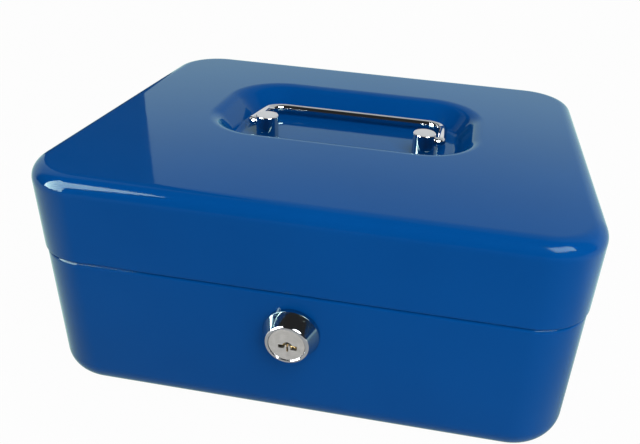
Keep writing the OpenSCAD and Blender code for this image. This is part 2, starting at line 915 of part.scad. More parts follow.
// Cup from its front to its back, grown by its wall
module cup(x, y, w, l, r, wall) {
  translate([x, y + l + wall, tray_top])
    rotate([90, 0, 0])
      linear_extrude(height = l + 2 * wall) cup_end(w, r, wall);
}

module all_cups(wall) {
  for (i = [0 : cup_count - 1])
    cup(-cups_x + cup_w / 2 + i * (cup_w + cup_web), cups_front, cup_w, cup_l, cup_r, wall);
  for (side = [-1, 1])
    cup(side * (cup_web + note_w) / 2, note_y, note_w, note_l, note_r, wall);
}

// Channel that stands on the case's floor, open towards the middle
module tray_leg() {
  height = tray_top - cup_h - sheet_t + leg_lap;
  difference() {
    translate([cups_x + tray_wall - leg_d, -leg_l / 2, sheet_t]) cube([leg_d, leg_l, height]);
    translate([cups_x - leg_d - 1, tray_wall - leg_l / 2, 0])
      cube([leg_d + 1, leg_l - 2 * tray_wall, height + sheet_t - leg_lap - tray_wall]);
  }
}

module coin_tray() {
  color(black)
    difference() {
      union() {
        translate([0, 0, tray_top - tray_deck])
          linear_extrude(height = tray_deck) tray_outline(0);
        translate([0, 0, tray_top - tray_skirt_h])
          linear_extrude(height = tray_skirt_h)
            difference() {
              tray_outline(0);
              tray_outline(tray_wall);
            }
        intersection() {
          all_cups(tray_wall);
          translate([-case_w, -case_d, 0]) cube([2 * case_w, 2 * case_d, tray_top]);
        }
        for (turn = [0, 180], y = [-leg_y, leg_y])
          rotate(turn) translate([0, y, 0]) tray_leg();
      }
      translate([0, 0, eps]) all_cups(0);
      for (turn = [0, 180])
        rotate(turn)
          translate([tray_x + grip_off, 0, tray_top - tray_skirt_h - 1])
            cylinder(h = tray_skirt_h + 2, r = grip_r);
    }
}

base_shell();
hinge_base_leaf_left();
hinge_base_leaf_right();
hinge_pin_left();
hinge_pin_right();
lock_barrel();
lock_washer();
lock_nut();
lid_shell();
hinge_lid_leaf_left();
hinge_lid_leaf_right();
lid_catch();
handle_post_left();
handle_post_right();
handle_washers();
handle_screws();
handle_bail();
lock_plug();
lock_wafers();
lock_cam();
cam_washer();
cam_screw();
coin_tray();
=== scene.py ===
"""Dresses a steel cash box: enamelled case, plated handle, cam lock, hinges and coin tray.

Every length in the classes below is in millimetres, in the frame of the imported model:
X to the right, -Y to the front, Z up, with the origin on the ground at the middle of the case.
"""

from __future__ import annotations

import logging
import math
from collections.abc import Iterable, Sequence
from dataclasses import dataclass, field
from enum import Enum

import bmesh
import bpy
from mathutils import Matrix, Vector


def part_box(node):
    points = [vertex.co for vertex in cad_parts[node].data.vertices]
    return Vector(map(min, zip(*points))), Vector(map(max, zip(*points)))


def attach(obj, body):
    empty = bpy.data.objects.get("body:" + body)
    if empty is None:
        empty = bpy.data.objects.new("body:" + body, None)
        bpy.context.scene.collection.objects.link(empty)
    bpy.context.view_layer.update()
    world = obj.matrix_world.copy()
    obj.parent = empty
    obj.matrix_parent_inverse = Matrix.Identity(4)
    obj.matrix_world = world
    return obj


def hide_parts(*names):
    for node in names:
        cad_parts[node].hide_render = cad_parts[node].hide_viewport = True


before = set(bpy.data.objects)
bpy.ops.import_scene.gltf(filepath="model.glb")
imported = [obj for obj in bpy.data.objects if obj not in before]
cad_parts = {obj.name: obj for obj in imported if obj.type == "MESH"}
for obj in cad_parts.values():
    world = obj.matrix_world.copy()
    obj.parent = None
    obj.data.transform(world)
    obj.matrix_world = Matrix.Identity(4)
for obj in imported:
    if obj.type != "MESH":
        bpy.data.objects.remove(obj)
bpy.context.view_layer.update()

log = logging.getLogger("cash_box")

MM = 0.001
QUARTER = math.pi / 2
SHARP = math.radians(38)
HOLD = 0.4
HOLD_LEAST = 2.0
NOISE_SPAN = (0.3, 0.7)
WHITE = (1.0, 1.0, 1.0, 1.0)

Pair = tuple[float, float]
Point = tuple[float, float, float]
Colour = tuple[float, float, float]
Socket = bpy.types.NodeSocket
Node = bpy.types.Node
Piece = bpy.types.Object
Material = bpy.types.Material
Loop = Sequence[bmesh.types.BMVert]


class Body(Enum):
    """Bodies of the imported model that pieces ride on."""

    CASE = "case"
    LID = "lid"
    BAIL = "bail"
    PLUG = "plug"
    TRAY = "tray"


class Slot(Enum):
    """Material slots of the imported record."""

    PAINT = "paint"
    CHROME = "chrome_plate"
    NICKEL = "satin_nickel"
    ZINC = "zinc_steel"
    BRASS = "brass"
    PLASTIC = "tray_plastic"


# ---------------------------------------------------------------- shaders


class Shader:
    """A node tree of a material or a world, with short calls to add nodes and join them."""

    def __init__(self, name: str, world: bool = False) -> None:
        """Starts an empty tree.

        Args:
            name: the material's or the world's name.
            world: whether it is a world.
        """
        self.made = (bpy.data.worlds if world else bpy.data.materials).new(name)
        self.made.use_nodes = True
        self.tree = self.made.node_tree
        self.tree.nodes.clear()
        self.out = self.add("ShaderNodeOutputWorld" if world else "ShaderNodeOutputMaterial")

    def add(self, kind: str, **values: object) -> Node:
        """Adds a node.

        Args:
            kind: the node's type name.
            **values: attributes of the node, or inputs by name with spaces as underscores.

        Returns:
            The new node.
        """
        node = self.tree.nodes.new(kind)
        for key, value in values.items():
            if hasattr(node, key):
                setattr(node, key, value)
            else:
                node.inputs[key.replace("_", " ")].default_value = value
        return node

    def join(self, source: Socket, target: Socket) -> None:
        """Links one socket to another."""
        self.tree.links.new(source, target)

    def end(self, node: Node) -> None:
        """Feeds a shader to the output."""
        self.join(node.outputs[0], self.out.inputs["Surface"])

    def surface(self, **values: object) -> Node:
        """Adds the Principled shader that feeds the output, with its inputs by name."""
        node = self.add("ShaderNodeBsdfPrincipled", **values)
        self.end(node)
        return node

    def mix(self, share: Socket, low: Node, high: Node) -> None:
        """Feeds two shaders to the output, the second one by the share."""
        node = self.add("ShaderNodeMixShader")
        for source, target in zip((share, low.outputs[0], high.outputs[0]), node.inputs):
            self.join(source, target)
        self.end(node)

    def math(self, operation: str, first: Socket, second: object) -> Socket:
        """Works out one value from two.

        Args:
            operation: what to do.
            first: the first value.
            second: the second value, as a socket or a number.

        Returns:
            The result.
        """
        node = self.add("ShaderNodeMath", operation=operation)
        self.join(first, node.inputs[0])
        if isinstance(second, float):
            node.inputs[1].default_value = second
        else:
            self.join(second, node.inputs[1])
        return node.outputs[0]

    def mapped(self, value: Socket, span: Pair, onto: Pair, **values: object) -> Socket:
        """Maps a span of a value onto another span, and holds its ends.

        Args:
            value: the value.
            span: where it starts and ends.
            onto: the results there.
            **values: other settings of the node.

        Returns:
            The mapped value.
        """
        node = self.add("ShaderNodeMapRange", **values)
        for name, number in zip(("From Min", "From Max", "To Min", "To Max"), (*span, *onto)):
            node.inputs[name].default_value = number
        self.join(value, node.inputs["Value"])
        return node.outputs["Result"]

    def place(self) -> Socket:
        """Gives the object-space position, in metres."""
        return self.add("ShaderNodeTexCoord").outputs["Object"]

    def noise(self, scale: float, detail: float = 2.0) -> Socket:
        """Adds a noise over the object's own space.

        Args:
            scale: features per metre.
            detail: octaves of finer noise.

        Returns:
            The noise's value.
        """
        node = self.add("ShaderNodeTexNoise", Scale=scale, Detail=detail)
        self.join(self.place(), node.inputs["Vector"])
        return node.outputs["Fac"]

    def tint(self, value: Socket, low: Colour, high: Colour, target: Socket) -> None:
        """Blends two colours by a noise.

        Args:
            value: the noise.
            low: the colour where it is low.
            high: the colour where it is high.
            target: the socket that takes the colour.
        """
        ramp = self.add("ShaderNodeValToRGB")
        for element, position, colour in zip(ramp.color_ramp.elements, NOISE_SPAN, (low, high)):
            element.position = position
            element.color = (*colour, 1.0)
        self.join(value, ramp.inputs["Fac"])
        self.join(ramp.outputs["Color"], target)

    def rough(self, value: Socket, onto: Pair, *nodes: Node) -> None:
        """Sets the roughness of some shaders by a noise, between the two values given."""
        grain = self.mapped(value, NOISE_SPAN, onto)
        for node in nodes:
            self.join(grain, node.inputs["Roughness"])

    def bump(self, height: Socket, depth: float, strength: float, *nodes: Node) -> None:
        """Gives some nodes a relief.

        Args:
            height: the height's socket.
            depth: depth of the relief, in millimetres.
            strength: how much of it shows.
            *nodes: the nodes that take it.
        """
        bump = self.add("ShaderNodeBump", Distance=depth * MM, Strength=strength)
        self.join(height, bump.inputs["Height"])
        for node in nodes:
            self.join(bump.outputs["Normal"], node.inputs["Normal"])


@dataclass(frozen=True)
class Enamel:
    """Stoved gloss enamel with a faint orange peel under a clear, cool-toned surface."""

    name: str = "royal_blue_enamel"
    deep: Colour = (0.0004, 0.062, 0.260)
    light: Colour = (0.0008, 0.068, 0.280)
    ior: float = 1.32
    swallowed: float = 0.014
    gloss_tint: Colour = (0.69, 1.0, 0.90)
    rough: Pair = (0.035, 0.060)
    cloud_scale: float = 18.0
    grain_scale: float = 60.0
    peel_size: float = 3.2
    peel_depth: float = 0.012

    def make(self) -> Material:
        """Builds the material."""
        shader = Shader(self.name)
        body = shader.add("ShaderNodeBsdfPrincipled", Metallic=0.0, Specular_IOR_Level=0.0)
        gloss = shader.add("ShaderNodeBsdfAnisotropic", Color=(*self.gloss_tint, 1.0))
        fresnel = shader.add("ShaderNodeFresnel", IOR=self.ior)
        shader.tint(shader.noise(self.cloud_scale, 3.0), self.deep, self.light, body.inputs["Base Color"])
        shader.rough(shader.noise(self.grain_scale, 4.0), self.rough, body, gloss)
        peel = shader.noise(1 / (self.peel_size * MM), 1.0)
        shader.bump(peel, self.peel_depth, 0.35, body, gloss, fresnel)
        share = shader.mapped(fresnel.outputs["Fac"], (self.swallowed, 1.0), (0.0, 1.0))
        shader.mix(share, body, gloss)
        return shader.made


@dataclass(frozen=True)
class Plate:
    """Metal plating, from bright chrome to dull zinc, with fine grain from its polishing."""

    name: str
    low: Colour
    high: Colour
    rough: Pair
    relief: float = 0.002
    cloud_scale: float = 220.0
    grain_scale: float = 900.0

    def make(self) -> Material:
        """Builds the material."""
        shader = Shader(self.name)
        surface = shader.surface(Metallic=1.0)
        shader.tint(shader.noise(self.cloud_scale, 3.0), self.low, self.high, surface.inputs["Base Color"])
        grain = shader.noise(self.grain_scale, 3.0)
        shader.rough(grain, self.rough, surface)
        shader.bump(grain, self.relief, 0.5, surface)
        return shader.made


@dataclass(frozen=True)
class TurnedFace:
    """Lathe-turned face round an axis: fine rings in the roughness and the relief."""

    name: str
    centre: Point
    axis: str
    low: Colour
    high: Colour
    pitch: float = 0.18
    wander: float = 0.6
    rough: Pair = (0.20, 0.26)
    relief: float = 0.001
    cloud_scale: float = 420.0

    def make(self) -> Material:
        """Builds the material."""
        shader = Shader(self.name)
        surface = shader.surface(Metallic=1.0)
        away = shader.add("ShaderNodeMapping", Location=tuple(-c * MM for c in self.centre))
        shader.join(shader.place(), away.inputs["Vector"])
        rings = shader.add("ShaderNodeTexWave", wave_type="RINGS", rings_direction=self.axis)
        rings.inputs["Scale"].default_value = 0.05 / (self.pitch * MM)
        rings.inputs["Distortion"].default_value = self.wander
        shader.join(away.outputs["Vector"], rings.inputs["Vector"])
        shader.tint(shader.noise(self.cloud_scale, 3.0), self.low, self.high, surface.inputs["Base Color"])
        shader.rough(rings.outputs["Fac"], self.rough, surface)
        shader.bump(rings.outputs["Fac"], self.relief, 0.3, surface)
        return shader.made


@dataclass(frozen=True)
class Moulding:
    """Matt black moulded plastic with a spark-eroded texture."""

    name: str = "black_moulding"
    low: Colour = (0.012, 0.012, 0.013)
    high: Colour = (0.022, 0.022, 0.024)
    rough: Pair = (0.34, 0.46)
    spark_scale: float = 1600.0
    spark_depth: float = 0.02

    def make(self) -> Material:
        """Builds the material."""
        shader = Shader(self.name)
        surface = shader.surface(Metallic=0.0, IOR=1.5)
        shader.tint(shader.noise(40.0, 3.0), self.low, self.high, surface.inputs["Base Color"])
        shader.rough(shader.noise(300.0, 2.0), self.rough, surface)
        shader.bump(shader.noise(self.spark_scale, 2.0), self.spark_depth, 0.4, surface)
        return shader.made


# ---------------------------------------------------------------- meshes


@dataclass(frozen=True)
class Ring:
    """Rounded rectangle at one height: a station of a pressing."""

    half_x: float
    half_y: float
    radius: float
    z: float
    mid_y: float = 0.0

    def points(self, steps: int) -> list[Vector]:
        """Gives the outline's points, counted round from +X, in metres.

        Args:
            steps: chords in each corner.

        Returns:
            Four corners of steps + 1 points.
        """
        flat_x, flat_y = self.half_x - self.radius, self.half_y - self.radius
        found = []
        for corner, (sign_x, sign_y) in enumerate(((1, 1), (-1, 1), (-1, -1), (1, -1))):
            for step in range(steps + 1):
                turn = QUARTER * (corner + step / steps)
                x = sign_x * flat_x + self.radius * math.cos(turn)
                y = sign_y * flat_y + self.radius * math.sin(turn)
                found.append(Vector((x, y + self.mid_y, self.z)) * MM)
        return found


def arc(mid: Pair, radius: float, start: float, end: float, steps: int) -> list[Pair]:
    """Gives points on an arc.

    Args:
        mid: the arc's centre.
        radius: its radius.
        start: first angle, in degrees.
        end: last angle, in degrees.
        steps: number of chords.

    Returns:
        steps + 1 points, both ends with them.
    """
    angles = [math.radians(start + (end - start) * i / steps) for i in range(steps + 1)]
    return [(mid[0] + radius * math.cos(a), mid[1] + radius * math.sin(a)) for a in angles]


def held(path: Sequence[Pair]) -> list[Pair]:
    """Adds a point near both ends of each long straight run, so that its shading stays flat.

    Args:
        path: points of a section.

    Returns:
        The path with the points added.
    """
    found = [path[0]]
    for start, end in zip(path, path[1:]):
        first, last = Vector(start), Vector(end)
        if (last - first).length > HOLD_LEAST:
            step = (last - first).normalized() * HOLD
            found += [tuple(first + step), tuple(last - step)]
        found.append(end)
    return found


class Sketch:
    """Collects geometry for one piece and turns it into an object."""

    def __init__(self, name: str) -> None:
        """Starts an empty piece."""
        self.name = name
        self.mesh = bmesh.new()

    def loop(self, points: Iterable[Vector]) -> Loop:
        """Adds points, given in metres, and gives their vertices."""
        return [self.mesh.verts.new(p) for p in points]

    def skin(self, loops: Sequence[Loop]) -> None:
        """Joins neighbouring closed loops with faces; a loop of one point gets a fan."""
        for low, high in zip(loops, loops[1:]):
            count = max(len(low), len(high))
            for i in range(count):
                j = (i + 1) % count
                if len(low) == 1:
                    face = (low[0], high[j], high[i])
                elif len(high) == 1:
                    face = (low[i], low[j], high[0])
                else:
                    face = (low[i], low[j], high[j], high[i])
                self.mesh.faces.new(face)

    def cap(self, *loops: Loop) -> None:
        """Closes each loop with one flat face."""
        for loop in loops:
            self.mesh.faces.new(loop)

    def finish(self, material: Material | None = None) -> Piece:
        """Turns the piece into an object with smooth shading and sharp edges where it bends.

        Args:
            material: the finish, where it gets one now.

        Returns:
            The object, linked to the scene.
        """
        bmesh.ops.recalc_face_normals(self.mesh, faces=self.mesh.faces)
        data = bpy.data.meshes.new(self.name)
        self.mesh.to_mesh(data)
        self.mesh.free()
        data.shade_smooth()
        data.set_sharp_from_angle(angle=SHARP)
        made = bpy.data.objects.new(self.name, data)
        bpy.context.scene.collection.objects.link(made)
        if material is not None:
            coat(made, material)
        return made


def coat(made: Piece, material: Material) -> None:
    """Gives an object one finish."""
    made.data.materials.clear()
    made.data.materials.append(material)


def modify(made: Piece, kind: str, **values: object) -> None:
    """Adds a modifier of a kind, with its settings by name."""
    modifier = made.modifiers.new(kind.lower(), kind)
    for key, value in values.items():
        setattr(modifier, key, value)


def bake(made: Piece) -> Piece:
    """Applies an object's modifiers to its mesh and gives the object back."""
    graph = bpy.context.evaluated_depsgraph_get()
    data = bpy.data.meshes.new_from_object(made.evaluated_get(graph))
    made.modifiers.clear()
    made.data = data
    return made


def combine(made: Piece, operation: str, others: Iterable[Piece]) -> Piece:
    """Combines a piece with other closed meshes and removes those.

    Args:
        made: the piece.
        operation: how they combine.
        others: the other meshes.

    Returns:
        The piece.
    """
    for other in others:
        modify(made, "BOOLEAN", operation=operation, solver="EXACT", object=other)
        bake(made)
        bpy.data.objects.remove(other)
    return made


def cut(made: Piece, *tools: Piece) -> Piece:
    """Cuts tools out of a piece and gives the piece back."""
    return combine(made, "DIFFERENCE", tools)


def join(made: Piece, *extras: Piece) -> Piece:
    """Joins closed meshes to a piece and gives the piece back."""
    return combine(made, "UNION", extras)


def corners(node: str) -> tuple[Vector, Vector]:
    """Gives a solid's lowest and highest corner, in millimetres."""
    low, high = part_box(node)
    return low / MM, high / MM


def shift(x: float = 0.0, y: float = 0.0, z: float = 0.0) -> Matrix:
    """Gives a move by so many millimetres."""
    return Matrix.Translation(Vector((x, y, z)) * MM)


def block(low: Point, high: Point) -> Piece:
    """Makes a plain box to cut with, from its lowest corner to its highest."""
    sketch = Sketch("cutter")
    bmesh.ops.create_cube(sketch.mesh, size=1.0)
    middle = (Vector(low) + Vector(high)) / 2 * MM
    size = (Vector(high) - Vector(low)) * MM
    matrix = Matrix.Translation(middle) @ Matrix.Diagonal((*size, 1))
    bmesh.ops.transform(sketch.mesh, verts=sketch.mesh.verts, matrix=matrix)
    return sketch.finish()


def lathe(name: str, profile: Sequence[Pair], steps: int) -> Piece:
    """Turns a profile round Z.

    Args:
        name: the piece's name.
        profile: pairs of radius and height; an end on the axis has radius 0.
        steps: facets round the axis.

    Returns:
        The turned piece, at the origin.
    """
    sketch = Sketch(name)
    turn = [2 * math.pi * i / steps for i in range(steps)]
    loops = []
    for radius, z in profile:
        spots = [Vector((radius * math.cos(a), radius * math.sin(a), z)) * MM for a in turn]
        loops.append(sketch.loop(spots if radius > 0 else [Vector((0, 0, z)) * MM]))
    sketch.skin(loops)
    return sketch.finish()


def rod(name: str, radius: float, low: float, high: float, steps: int) -> Piece:
    """Turns a plain rod to cut with, between two heights."""
    return lathe(name, [(0, low), (radius, low), (radius, high), (0, high)], steps)


def extrude(name: str, outline: Sequence[Pair], low: float, high: float) -> Piece:
    """Extrudes a flat outline along Z.

    Args:
        name: the piece's name.
        outline: its corners, counted round.
        low: height of the lower face.
        high: height of the upper face.

    Returns:
        The piece.
    """
    sketch = Sketch(name)
    loops = [sketch.loop([Vector((x, y, z)) * MM for x, y in outline]) for z in (low, high)]
    sketch.skin(loops)
    sketch.cap(*loops)
    return sketch.finish()


def place(made: Piece, matrix: Matrix) -> Piece:
    """Moves a piece's mesh, so that its object stays at the origin, and gives it back."""
    made.data.transform(matrix)
    made.data.update()
    return made


def flatten(made: Piece, half: float, reach: float, low: float, high: float) -> None:
    """Cuts two flats on a turned piece, one on each side of Y = 0.

    Args:
        made: the piece.
        half: distance of each flat from the axis.
        reach: how far out the cut goes.
        low: height where the flats start.
        high: height where they end.
    """
    for side in (-1, 1):
        near, far = sorted((side * half, side * reach))
        cut(made, block((-reach, near, low), (reach, far, high)))


def weld(made: Piece) -> None:
    """Merges a piece's doubled points and turns its faces outward."""
    mesh = bmesh.new()
    mesh.from_mesh(made.data)
    bmesh.ops.remove_doubles(mesh, verts=mesh.verts, dist=1e-7)
    bmesh.ops.recalc_face_normals(mesh, faces=mesh.faces)
    mesh.to_mesh(made.data)
    mesh.free()


def soften(made: Piece, width: float, segments: int, hard: bool = False) -> Piece:
    """Rounds a piece's sharp edges and keeps its flat faces flat in the shading.

    Args:
        made: the piece.
        width: the rounding, in millimetres.
        segments: steps across it.
        hard: whether the rounding takes its normals from the faces beside it.

    Returns:
        The piece.
    """
    bevel = {"width": width * MM, "segments": segments, "harden_normals": hard}
    modify(made, "BEVEL", limit_method="ANGLE", angle_limit=SHARP, **bevel)
    if not hard:
        modify(made, "WEIGHTED_NORMAL", keep_sharp=True, weight=80)
    return bake(made)


def seat(made: Piece, body: Body, slot: Slot, finish: Material, *nodes: str) -> None:
    """Finishes a piece and puts it on its body, in place of its solids.

    Args:
        made: the piece.
        body: the body it rides on.
        slot: the record's material slot; not used.
        finish: its material.
        *nodes: the solids it stands for.
    """
    coat(made, finish)
    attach(made, body.value)
    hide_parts(*nodes)
    log.info("%s rides on %s, %d faces", made.name, body.value, len(made.data.polygons))


# ---------------------------------------------------------------- pressings


@dataclass
class Shell:
    """Enamelled pressing with two notches for the hinges: what the lid and the base share."""

    node: str
    body: Body
    sheet: float = 1.0
    notch_half: float = 14.2
    notch_deep: float = 5.0
    hinge_x: float = 60.0
    steps: int = 20

    def notches(self, made: Piece, low: float, high: float) -> None:
        """Cuts the notches for the hinges into the back, between two heights."""
        back = corners(self.node)[1].y
        for side in (-1, 1):
            left, right = (side * self.hinge_x + half for half in (-self.notch_half, self.notch_half))
            cut(made, block((left, back - self.notch_deep, low), (right, back + 1, high)))

    def dress(self, made: Piece, paint: Material) -> None:
        """Paints the pressing and puts it in place of its solid."""
        seat(made, self.body, Slot.PAINT, paint, self.node)


@dataclass
class LidShell(Shell):
    """Lid: a skirt, a rolled top edge and the recess that takes the folded handle."""

    node: str = "lid_shell"
    body: Body = Body.LID
    corner: float = 22.0
    roll: float = 6.0
    recess_x: float = 58.0
    recess_y: float = 35.0
    recess_back: float = 10.5
    recess_corner: float = 25.0
    recess_depth: float = 10.0
    lip: float = 6.5
    foot: float = 3.5
    wall: Pair = (3.0, 4.0)
    notch_rise: float = 3.5

    def rings(self) -> list[list[Ring]]:
        """Gives the outside, from the skirt's hem to the recess's floor, and the inside, back again."""
        low, high = corners(self.node)
        top, hem = high.z, self.sheet / 2

        def skirt(inset: float, z: float) -> Ring:
            """Gives a station of the skirt."""
            return Ring(high.x - inset, high.y - inset, self.corner - inset, z)

        def well(inset: float, z: float) -> Ring:
            """Gives a station of the recess."""
            half_x, half_y = self.recess_x - inset, self.recess_y - inset
            return Ring(half_x, half_y, self.recess_corner - inset, z, self.recess_back)

        across, down = self.wall
        lean = math.atan2(across, down)
        bends = self.lip + self.foot
        straight = self.recess_depth - bends * (1 - math.sin(lean))
        run = bends * math.cos(lean) + straight * across / down
        lean = math.degrees(lean)
        sheet, roll, lip, foot = self.sheet, self.roll, self.lip, self.foot
        shoulder, mouth = (roll, top - roll), (0.0, top - lip)
        sole = (run, top - self.recess_depth + foot)
        wall = arc((hem, low.z + hem), hem, 0, -180, 8) + arc(shoulder, roll, 180, 90, 14)
        wall.append((roll + HOLD, top))
        well_out = [(-HOLD, top)] + arc(mouth, lip, 90, lean, 10) + arc(sole, foot, 180 + lean, 270, 8)
        well_out.append((run + HOLD, sole[1] - foot))
        well_in = [(run + HOLD, sole[1] - foot - sheet)] + arc(sole, foot + sheet, 270, 180 + lean, 8)
        well_in += arc(mouth, lip - sheet, lean, 90, 10) + [(-HOLD, top - sheet)]
        back = [(roll + HOLD, top - sheet)] + arc(shoulder, roll - sheet, 90, 180, 14)
        back.append((sheet, low.z + hem + HOLD))
        outside = [skirt(*p) for p in held(wall)] + [well(*p) for p in held(well_out)]
        inside = [well(*p) for p in held(well_in)] + [skirt(*p) for p in held(back)]
        return [outside, inside]

    def build(self) -> Piece:
        """Builds the pressing and cuts the notches for the hinges."""
        sketch = Sketch("lid_pressing")
        sides = self.rings()
        outside, inside = ([sketch.loop(ring.points(self.steps)) for ring in side] for side in sides)
        sketch.skin(outside)
        sketch.skin(inside)
        sketch.skin([inside[-1], outside[0]])
        sketch.cap(outside[-1], inside[0])
        made = sketch.finish()
        low = corners(self.node)[0]
        self.notches(made, low.z - 1, low.z + self.notch_rise)
        return soften(made, 0.12, 2)


@dataclass
class BaseShell(Shell):
    """Base: a drawn pan with a shoulder under the seam and a rim with a folded hem inside the lid."""

    node: str = "base_shell"
    body: Body = Body.CASE
    corner: float = 21.5
    roll: float = 10.0
    shoulder: float = 1.5
    shoulder_z: float = 56.1
    rim_inset: float = 1.1
    hem_height: float = 6.0
    notch_low: float = 54.5
    lock: Pair = (-1.0, 41.5)
    barrel: float = 8.1
    flats: float = 14.2

    def rings(self) -> list[Ring]:
        """Gives the stations of the sheet, from the underside of the floor round to its top."""
        high = corners(self.node)[1]
        fold = self.rim_inset + self.sheet
        ledge = self.shoulder_z - self.sheet
        lean = 180 - math.degrees(math.acos(1 - self.rim_inset / self.shoulder))
        foot = (self.roll, self.roll)
        path = arc(foot, self.roll, 270, 180, 16)
        path += arc((self.shoulder, self.shoulder_z), self.shoulder, 180, lean, 6)
        path += arc((fold, high.z - self.sheet), self.sheet, 180, 0, 12)
        hem = high.z - self.hem_height
        path += [(fold + self.sheet, hem), (fold, hem), (fold, ledge), (self.sheet, ledge)]
        path += arc(foot, self.roll - self.sheet, 180, 270, 16)
        path = held([(self.roll + HOLD, 0.0)] + path + [(self.roll + HOLD, self.sheet)])
        return [Ring(high.x - inset, high.y - inset, self.corner - inset, z) for inset, z in path]

    def build(self) -> Piece:
        """Builds the pan and cuts the notches for the hinges and the hole for the lock."""
        sketch = Sketch("base_pressing")
        loops = [sketch.loop(ring.points(self.steps)) for ring in self.rings()]
        sketch.skin(loops)
        sketch.cap(loops[0], loops[-1])
        made = sketch.finish()
        low, high = corners(self.node)
        self.notches(made, self.notch_low, high.z + 1)
        hole = rod("hole", self.barrel, -4, 4, 48)
        flatten(hole, self.flats / 2, 2 * self.barrel, -5, 5)
        turn = Matrix.Rotation(QUARTER, 4, "X")
        cut(made, place(hole, shift(self.lock[0], low.y, self.lock[1]) @ turn))
        return soften(made, 0.12, 2)


# ---------------------------------------------------------------- handle


@dataclass
class Handle:
    """Folding handle: two plated posts and a bent wire between them."""

    post_x: float = 33.75
    post_radius: float = 4.75
    chamfer: float = 0.4
    wire: float = 1.9
    fit: float = 0.08
    end_x: float = 31.96
    end_gap: float = 0.3
    arm_x: float = 40.8
    reach: float = 29.0
    droop: float = 6.5
    pivot_bend: float = 2.3
    corner_bend: float = 8.5
    facets: int = 28

    def pivot(self) -> float:
        """Gives the height of the bail's axis."""
        return corners("handle_bail")[1].z - self.wire

    def post(self, side: int) -> Piece:
        """Turns one post and drills its blind hole.

        Args:
            side: -1 for the left post, 1 for the right.

        Returns:
            The post.
        """
        name = "post_left" if side < 0 else "post_right"
        low, high = corners(f"handle_{name}")
        r, c = self.post_radius, self.chamfer
        profile = [(0, low.z), (r, low.z), (r, high.z - c)]
        profile += arc((r - c, high.z - c), c, 0, 90, 5)[1:] + [(0, high.z)]
        made = place(lathe(name, profile, 72), shift(side * self.post_x))
        drill = rod("drill", self.wire + self.fit, 0, 12, 40)
        seat_x = side * (self.end_x - self.end_gap)
        place(drill, shift(seat_x, 0, self.pivot()) @ Matrix.Rotation(side * QUARTER, 4, "Y"))
        cut(made, drill)
        return soften(made, 0.08, 2)

    def bail(self) -> Piece:
        """Bends the wire, from the blind hole of one post round to the other's."""
        near, far = self.pivot_bend, self.corner_bend
        half = [(self.end_x, 0.0)] + arc((self.arm_x - near, near), near, -90, 0, 10)
        half += arc((self.arm_x - far, self.reach - far), far, 0, 90, 16)
        path = half + [(-x, y) for x, y in reversed(half)]
        sketch = Sketch("bail_wire")
        loops = []
        for i, (x, y) in enumerate(path):
            before, after = path[max(i - 1, 0)], path[min(i + 1, len(path) - 1)]
            run = Vector((after[0] - before[0], after[1] - before[1], 0)).normalized()
            side = Vector((run.y, -run.x, 0))
            spots = []
            for step in range(self.facets):
                turn = 2 * math.pi * step / self.facets
                off = side * math.cos(turn) + Vector((0, 0, 1)) * math.sin(turn)
                spots.append((Vector((x, y, 0)) + off * self.wire) * MM)
            loops.append(sketch.loop(spots))
        sketch.skin(loops)
        sketch.cap(loops[0], loops[-1])
        made = sketch.finish()
        slope = Matrix.Rotation(-math.radians(self.droop), 4, "X")
        place(made, shift(z=self.pivot()) @ slope)
        return soften(made, 0.1, 2)

    def build(self) -> list[Piece]:
        """Builds the posts and the bail."""
        return [self.post(-1), self.post(1), self.bail()]

    def dress(self, made: list[Piece], chrome: Material) -> None:
        """Plates the handle and puts its pieces in place of their solids."""
        left, right, bail = made
        seat(left, Body.LID, Slot.CHROME, chrome, "handle_post_left")
        seat(right, Body.LID, Slot.CHROME, chrome, "handle_post_right")
        seat(bail, Body.BAIL, Slot.CHROME, chrome, "handle_bail")


# ---------------------------------------------------------------- lock


